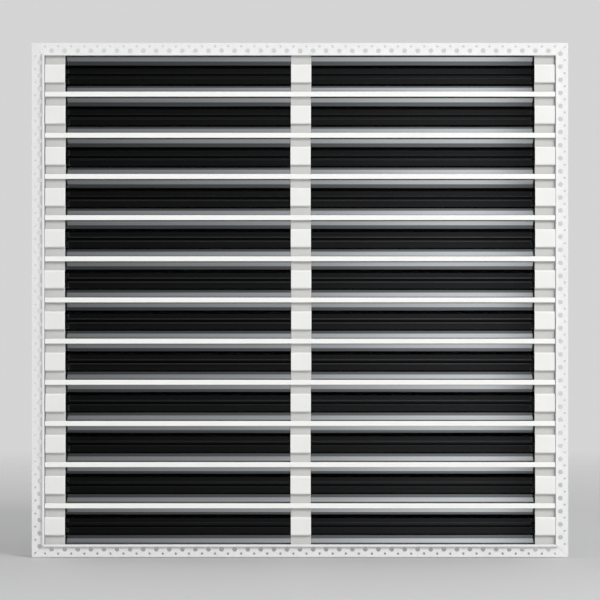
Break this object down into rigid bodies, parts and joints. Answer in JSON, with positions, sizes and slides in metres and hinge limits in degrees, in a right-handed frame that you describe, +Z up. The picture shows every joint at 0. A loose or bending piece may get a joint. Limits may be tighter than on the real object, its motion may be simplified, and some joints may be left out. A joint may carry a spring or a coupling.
{
  "type": "linear slot air grille",
  "caption": "Square linear slot air grille with a perforated plaster-in flange, white T-bars and spacers, and hinged black pattern blades behind each slot.",
  "frame": {"origin": "centre of the opening, on the plane where the back of the flange lies on the wall; also the centre of the flange screw pattern", "axes": "+X along the bars, to the right seen from the room; +Z up; -Y is the room side and +Y goes into the wall"},
  "size_m": [0.5334, 0.0466, 0.5114],
  "materials": {
    "frame_powder_coat": "satin white powder coat on an aluminium extrusion",
    "bar_powder_coat": "satin white powder coat on an aluminium extrusion",
    "spacer_powder_coat": "satin white powder coat on an aluminium section",
    "black_enamel_blade": "semi-gloss black enamel on an aluminium extrusion",
    "black_enamel_rail": "semi-gloss black enamel on an aluminium extrusion",
    "zinc_plated_steel": "bright zinc plate",
    "mill_aluminium": "mill finish"
  },
  "bodies": {
    "root": {"frame_top_rail": "frame_powder_coat", "frame_bottom_rail": "frame_powder_coat", "frame_left_rail": "frame_powder_coat", "frame_right_rail": "frame_powder_coat", "corner_angles": "mill_aluminium", "corner_rivets": "mill_aluminium", "t_bars": "bar_powder_coat", "tie_rods": "zinc_plated_steel", "tie_rod_nuts": "zinc_plated_steel", "spacer_tubes": "mill_aluminium", "slot_spacers": "spacer_powder_coat", "pivot_rails": "black_enamel_rail"},
    "blade_01_left_upper": {"blade_01_left_upper": "black_enamel_blade"},
    "blade_01_left_lower": {"blade_01_left_lower": "black_enamel_blade"},
    "blade_01_right_upper": {"blade_01_right_upper": "black_enamel_blade"},
    "blade_01_right_lower": {"blade_01_right_lower": "black_enamel_blade"},
    "blade_02_left_upper": {"blade_02_left_upper": "black_enamel_blade"},
    "blade_02_left_lower": {"blade_02_left_lower": "black_enamel_blade"},
    "blade_02_right_upper": {"blade_02_right_upper": "black_enamel_blade"},
    "blade_02_right_lower": {"blade_02_right_lower": "black_enamel_blade"},
    "blade_03_left_upper": {"blade_03_left_upper": "black_enamel_blade"},
    "blade_03_left_lower": {"blade_03_left_lower": "black_enamel_blade"},
    "blade_03_right_upper": {"blade_03_right_upper": "black_enamel_blade"},
    "blade_03_right_lower": {"blade_03_right_lower": "black_enamel_blade"},
    "blade_04_left_upper": {"blade_04_left_upper": "black_enamel_blade"},
    "blade_04_left_lower": {"blade_04_left_lower": "black_enamel_blade"},
    "blade_04_right_upper": {"blade_04_right_upper": "black_enamel_blade"},
    "blade_04_right_lower": {"blade_04_right_lower": "black_enamel_blade"},
    "blade_05_left_upper": {"blade_05_left_upper": "black_enamel_blade"},
    "blade_05_left_lower": {"blade_05_left_lower": "black_enamel_blade"},
    "blade_05_right_upper": {"blade_05_right_upper": "black_enamel_blade"},
    "blade_05_right_lower": {"blade_05_right_lower": "black_enamel_blade"},
    "blade_06_left_upper": {"blade_06_left_upper": "black_enamel_blade"},
    "blade_06_left_lower": {"blade_06_left_lower": "black_enamel_blade"},
    "blade_06_right_upper": {"blade_06_right_upper": "black_enamel_blade"},
    "blade_06_right_lower": {"blade_06_right_lower": "black_enamel_blade"},
    "blade_07_left_upper": {"blade_07_left_upper": "black_enamel_blade"},
    "blade_07_left_lower": {"blade_07_left_lower": "black_enamel_blade"},
    "blade_07_right_upper": {"blade_07_right_upper": "black_enamel_blade"},
    "blade_07_right_lower": {"blade_07_right_lower": "black_enamel_blade"},
    "blade_08_left_upper": {"blade_08_left_upper": "black_enamel_blade"},
    "blade_08_left_lower": {"blade_08_left_lower": "black_enamel_blade"},
    "blade_08_right_upper": {"blade_08_right_upper": "black_enamel_blade"},
    "blade_08_right_lower": {"blade_08_right_lower": "black_enamel_blade"},
    "blade_09_left_upper": {"blade_09_left_upper": "black_enamel_blade"},
    "blade_09_left_lower": {"blade_09_left_lower": "black_enamel_blade"},
    "blade_09_right_upper": {"blade_09_right_upper": "black_enamel_blade"},
    "blade_09_right_lower": {"blade_09_right_lower": "black_enamel_blade"},
    "blade_10_left_upper": {"blade_10_left_upper": "black_enamel_blade"},
    "blade_10_left_lower": {"blade_10_left_lower": "black_enamel_blade"},
    "blade_10_right_upper": {"blade_10_right_upper": "black_enamel_blade"},
    "blade_10_right_lower": {"blade_10_right_lower": "black_enamel_blade"},
    "blade_11_left_upper": {"blade_11_left_upper": "black_enamel_blade"},
    "blade_11_left_lower": {"blade_11_left_lower": "black_enamel_blade"},
    "blade_11_right_upper": {"blade_11_right_upper": "black_enamel_blade"},
    "blade_11_right_lower": {"blade_11_right_lower": "black_enamel_blade"},
    "blade_12_left_upper": {"blade_12_left_upper": "black_enamel_blade"},
    "blade_12_left_lower": {"blade_12_left_lower": "black_enamel_blade"},
    "blade_12_right_upper": {"blade_12_right_upper": "black_enamel_blade"},
    "blade_12_right_lower": {"blade_12_right_lower": "black_enamel_blade"}
  },
  "joints": [
    {"name": "blade_01_left_upper_swing", "type": "hinge", "parent": "root", "child": "blade_01_left_upper", "pos_m": [0, 0.0212, 0.22605], "axis": [1, 0, 0], "range_deg": [0, 28]},
    {"name": "blade_01_left_lower_swing", "type": "hinge", "parent": "root", "child": "blade_01_left_lower", "pos_m": [0, 0.0212, 0.22285], "axis": [-1, 0, 0], "range_deg": [0, 28]},
    {"name": "blade_01_right_upper_swing", "type": "hinge", "parent": "root", "child": "blade_01_right_upper", "pos_m": [0, 0.0212, 0.22605], "axis": [1, 0, 0], "range_deg": [0, 28]},
    {"name": "blade_01_right_lower_swing", "type": "hinge", "parent": "root", "child": "blade_01_right_lower", "pos_m": [0, 0.0212, 0.22285], "axis": [-1, 0, 0], "range_deg": [0, 28]},
    {"name": "blade_02_left_upper_swing", "type": "hinge", "parent": "root", "child": "blade_02_left_upper", "pos_m": [0, 0.0212, 0.18515], "axis": [1, 0, 0], "range_deg": [0, 28]},
    {"name": "blade_02_left_lower_swing", "type": "hinge", "parent": "root", "child": "blade_02_left_lower", "pos_m": [0, 0.0212, 0.18195], "axis": [-1, 0, 0], "range_deg": [0, 28]},
    {"name": "blade_02_right_upper_swing", "type": "hinge", "parent": "root", "child": "blade_02_right_upper", "pos_m": [0, 0.0212, 0.18515], "axis": [1, 0, 0], "range_deg": [0, 28]},
    {"name": "blade_02_right_lower_swing", "type": "hinge", "parent": "root", "child": "blade_02_right_lower", "pos_m": [0, 0.0212, 0.18195], "axis": [-1, 0, 0], "range_deg": [0, 28]},
    {"name": "blade_03_left_upper_swing", "type": "hinge", "parent": "root", "child": "blade_03_left_upper", "pos_m": [0, 0.0212, 0.14425], "axis": [1, 0, 0], "range_deg": [0, 28]},
    {"name": "blade_03_left_lower_swing", "type": "hinge", "parent": "root", "child": "blade_03_left_lower", "pos_m": [0, 0.0212, 0.14105], "axis": [-1, 0, 0], "range_deg": [0, 28]},
    {"name": "blade_03_right_upper_swing", "type": "hinge", "parent": "root", "child": "blade_03_right_upper", "pos_m": [0, 0.0212, 0.14425], "axis": [1, 0, 0], "range_deg": [0, 28]},
    {"name": "blade_03_right_lower_swing", "type": "hinge", "parent": "root", "child": "blade_03_right_lower", "pos_m": [0, 0.0212, 0.14105], "axis": [-1, 0, 0], "range_deg": [0, 28]},
    {"name": "blade_04_left_upper_swing", "type": "hinge", "parent": "root", "child": "blade_04_left_upper", "pos_m": [0, 0.0212, 0.10335], "axis": [1, 0, 0], "range_deg": [0, 28]},
    {"name": "blade_04_left_lower_swing", "type": "hinge", "parent": "root", "child": "blade_04_left_lower", "pos_m": [0, 0.0212, 0.10015], "axis": [-1, 0, 0], "range_deg": [0, 28]},
    {"name": "blade_04_right_upper_swing", "type": "hinge", "parent": "root", "child": "blade_04_right_upper", "pos_m": [0, 0.0212, 0.10335], "axis": [1, 0, 0], "range_deg": [0, 28]},
    {"name": "blade_04_right_lower_swing", "type": "hinge", "parent": "root", "child": "blade_04_right_lower", "pos_m": [0, 0.0212, 0.10015], "axis": [-1, 0, 0], "range_deg": [0, 28]},
    {"name": "blade_05_left_upper_swing", "type": "hinge", "parent": "root", "child": "blade_05_left_upper", "pos_m": [0, 0.0212, 0.06245], "axis": [1, 0, 0], "range_deg": [0, 28]},
    {"name": "blade_05_left_lower_swing", "type": "hinge", "parent": "root", "child": "blade_05_left_lower", "pos_m": [0, 0.0212, 0.05925], "axis": [-1, 0, 0], "range_deg": [0, 28]},
    {"name": "blade_05_right_upper_swing", "type": "hinge", "parent": "root", "child": "blade_05_right_upper", "pos_m": [0, 0.0212, 0.06245], "axis": [1, 0, 0], "range_deg": [0, 28]},
    {"name": "blade_05_right_lower_swing", "type": "hinge", "parent": "root", "child": "blade_05_right_lower", "pos_m": [0, 0.0212, 0.05925], "axis": [-1, 0, 0], "range_deg": [0, 28]},
    {"name": "blade_06_left_upper_swing", "type": "hinge", "parent": "root", "child": "blade_06_left_upper", "pos_m": [0, 0.0212, 0.02155], "axis": [1, 0, 0], "range_deg": [0, 28]},
    {"name": "blade_06_left_lower_swing", "type": "hinge", "parent": "root", "child": "blade_06_left_lower", "pos_m": [0, 0.0212, 0.01835], "axis": [-1, 0, 0], "range_deg": [0, 28]},
    {"name": "blade_06_right_upper_swing", "type": "hinge", "parent": "root", "child": "blade_06_right_upper", "pos_m": [0, 0.0212, 0.02155], "axis": [1, 0, 0], "range_deg": [0, 28]},
    {"name": "blade_06_right_lower_swing", "type": "hinge", "parent": "root", "child": "blade_06_right_lower", "pos_m": [0, 0.0212, 0.01835], "axis": [-1, 0, 0], "range_deg": [0, 28]},
    {"name": "blade_07_left_upper_swing", "type": "hinge", "parent": "root", "child": "blade_07_left_upper", "pos_m": [0, 0.0212, -0.01935], "axis": [1, 0, 0], "range_deg": [0, 28]},
    {"name": "blade_07_left_lower_swing", "type": "hinge", "parent": "root", "child": "blade_07_left_lower", "pos_m": [0, 0.0212, -0.02255], "axis": [-1, 0, 0], "range_deg": [0, 28]},
    {"name": "blade_07_right_upper_swing", "type": "hinge", "parent": "root", "child": "blade_07_right_upper", "pos_m": [0, 0.0212, -0.01935], "axis": [1, 0, 0], "range_deg": [0, 28]},
    {"name": "blade_07_right_lower_swing", "type": "hinge", "parent": "root", "child": "blade_07_right_lower", "pos_m": [0, 0.0212, -0.02255], "axis": [-1, 0, 0], "range_deg": [0, 28]},
    {"name": "blade_08_left_upper_swing", "type": "hinge", "parent": "root", "child": "blade_08_left_upper", "pos_m": [0, 0.0212, -0.06025], "axis": [1, 0, 0], "range_deg": [0, 28]},
    {"name": "blade_08_left_lower_swing", "type": "hinge", "parent": "root", "child": "blade_08_left_lower", "pos_m": [0, 0.0212, -0.06345], "axis": [-1, 0, 0], "range_deg": [0, 28]},
    {"name": "blade_08_right_upper_swing", "type": "hinge", "parent": "root", "child": "blade_08_right_upper", "pos_m": [0, 0.0212, -0.06025], "axis": [1, 0, 0], "range_deg": [0, 28]},
    {"name": "blade_08_right_lower_swing", "type": "hinge", "parent": "root", "child": "blade_08_right_lower", "pos_m": [0, 0.0212, -0.06345], "axis": [-1, 0, 0], "range_deg": [0, 28]},
    {"name": "blade_09_left_upper_swing", "type": "hinge", "parent": "root", "child": "blade_09_left_upper", "pos_m": [0, 0.0212, -0.10115], "axis": [1, 0, 0], "range_deg": [0, 28]},
    {"name": "blade_09_left_lower_swing", "type": "hinge", "parent": "root", "child": "blade_09_left_lower", "pos_m": [0, 0.0212, -0.10435], "axis": [-1, 0, 0], "range_deg": [0, 28]},
    {"name": "blade_09_right_upper_swing", "type": "hinge", "parent": "root", "child": "blade_09_right_upper", "pos_m": [0, 0.0212, -0.10115], "axis": [1, 0, 0], "range_deg": [0, 28]},
    {"name": "blade_09_right_lower_swing", "type": "hinge", "parent": "root", "child": "blade_09_right_lower", "pos_m": [0, 0.0212, -0.10435], "axis": [-1, 0, 0], "range_deg": [0, 28]},
    {"name": "blade_10_left_upper_swing", "type": "hinge", "parent": "root", "child": "blade_10_left_upper", "pos_m": [0, 0.0212, -0.14205], "axis": [1, 0, 0], "range_deg": [0, 28]},
    {"name": "blade_10_left_lower_swing", "type": "hinge", "parent": "root", "child": "blade_10_left_lower", "pos_m": [0, 0.0212, -0.14525], "axis": [-1, 0, 0], "range_deg": [0, 28]},
    {"name": "blade_10_right_upper_swing", "type": "hinge", "parent": "root", "child": "blade_10_right_upper", "pos_m": [0, 0.0212, -0.14205], "axis": [1, 0, 0], "range_deg": [0, 28]},
    {"name": "blade_10_right_lower_swing", "type": "hinge", "parent": "root", "child": "blade_10_right_lower", "pos_m": [0, 0.0212, -0.14525], "axis": [-1, 0, 0], "range_deg": [0, 28]},
    {"name": "blade_11_left_upper_swing", "type": "hinge", "parent": "root", "child": "blade_11_left_upper", "pos_m": [0, 0.0212, -0.18295], "axis": [1, 0, 0], "range_deg": [0, 28]},
    {"name": "blade_11_left_lower_swing", "type": "hinge", "parent": "root", "child": "blade_11_left_lower", "pos_m": [0, 0.0212, -0.18615], "axis": [-1, 0, 0], "range_deg": [0, 28]},
    {"name": "blade_11_right_upper_swing", "type": "hinge", "parent": "root", "child": "blade_11_right_upper", "pos_m": [0, 0.0212, -0.18295], "axis": [1, 0, 0], "range_deg": [0, 28]},
    {"name": "blade_11_right_lower_swing", "type": "hinge", "parent": "root", "child": "blade_11_right_lower", "pos_m": [0, 0.0212, -0.18615], "axis": [-1, 0, 0], "range_deg": [0, 28]},
    {"name": "blade_12_left_upper_swing", "type": "hinge", "parent": "root", "child": "blade_12_left_upper", "pos_m": [0, 0.0212, -0.22385], "axis": [1, 0, 0], "range_deg": [0, 28]},
    {"name": "blade_12_left_lower_swing", "type": "hinge", "parent": "root", "child": "blade_12_left_lower", "pos_m": [0, 0.0212, -0.22705], "axis": [-1, 0, 0], "range_deg": [0, 28]},
    {"name": "blade_12_right_upper_swing", "type": "hinge", "parent": "root", "child": "blade_12_right_upper", "pos_m": [0, 0.0212, -0.22385], "axis": [1, 0, 0], "range_deg": [0, 28]},
    {"name": "blade_12_right_lower_swing", "type": "hinge", "parent": "root", "child": "blade_12_right_lower", "pos_m": [0, 0.0212, -0.22705], "axis": [-1, 0, 0], "range_deg": [0, 28]}
  ]
}
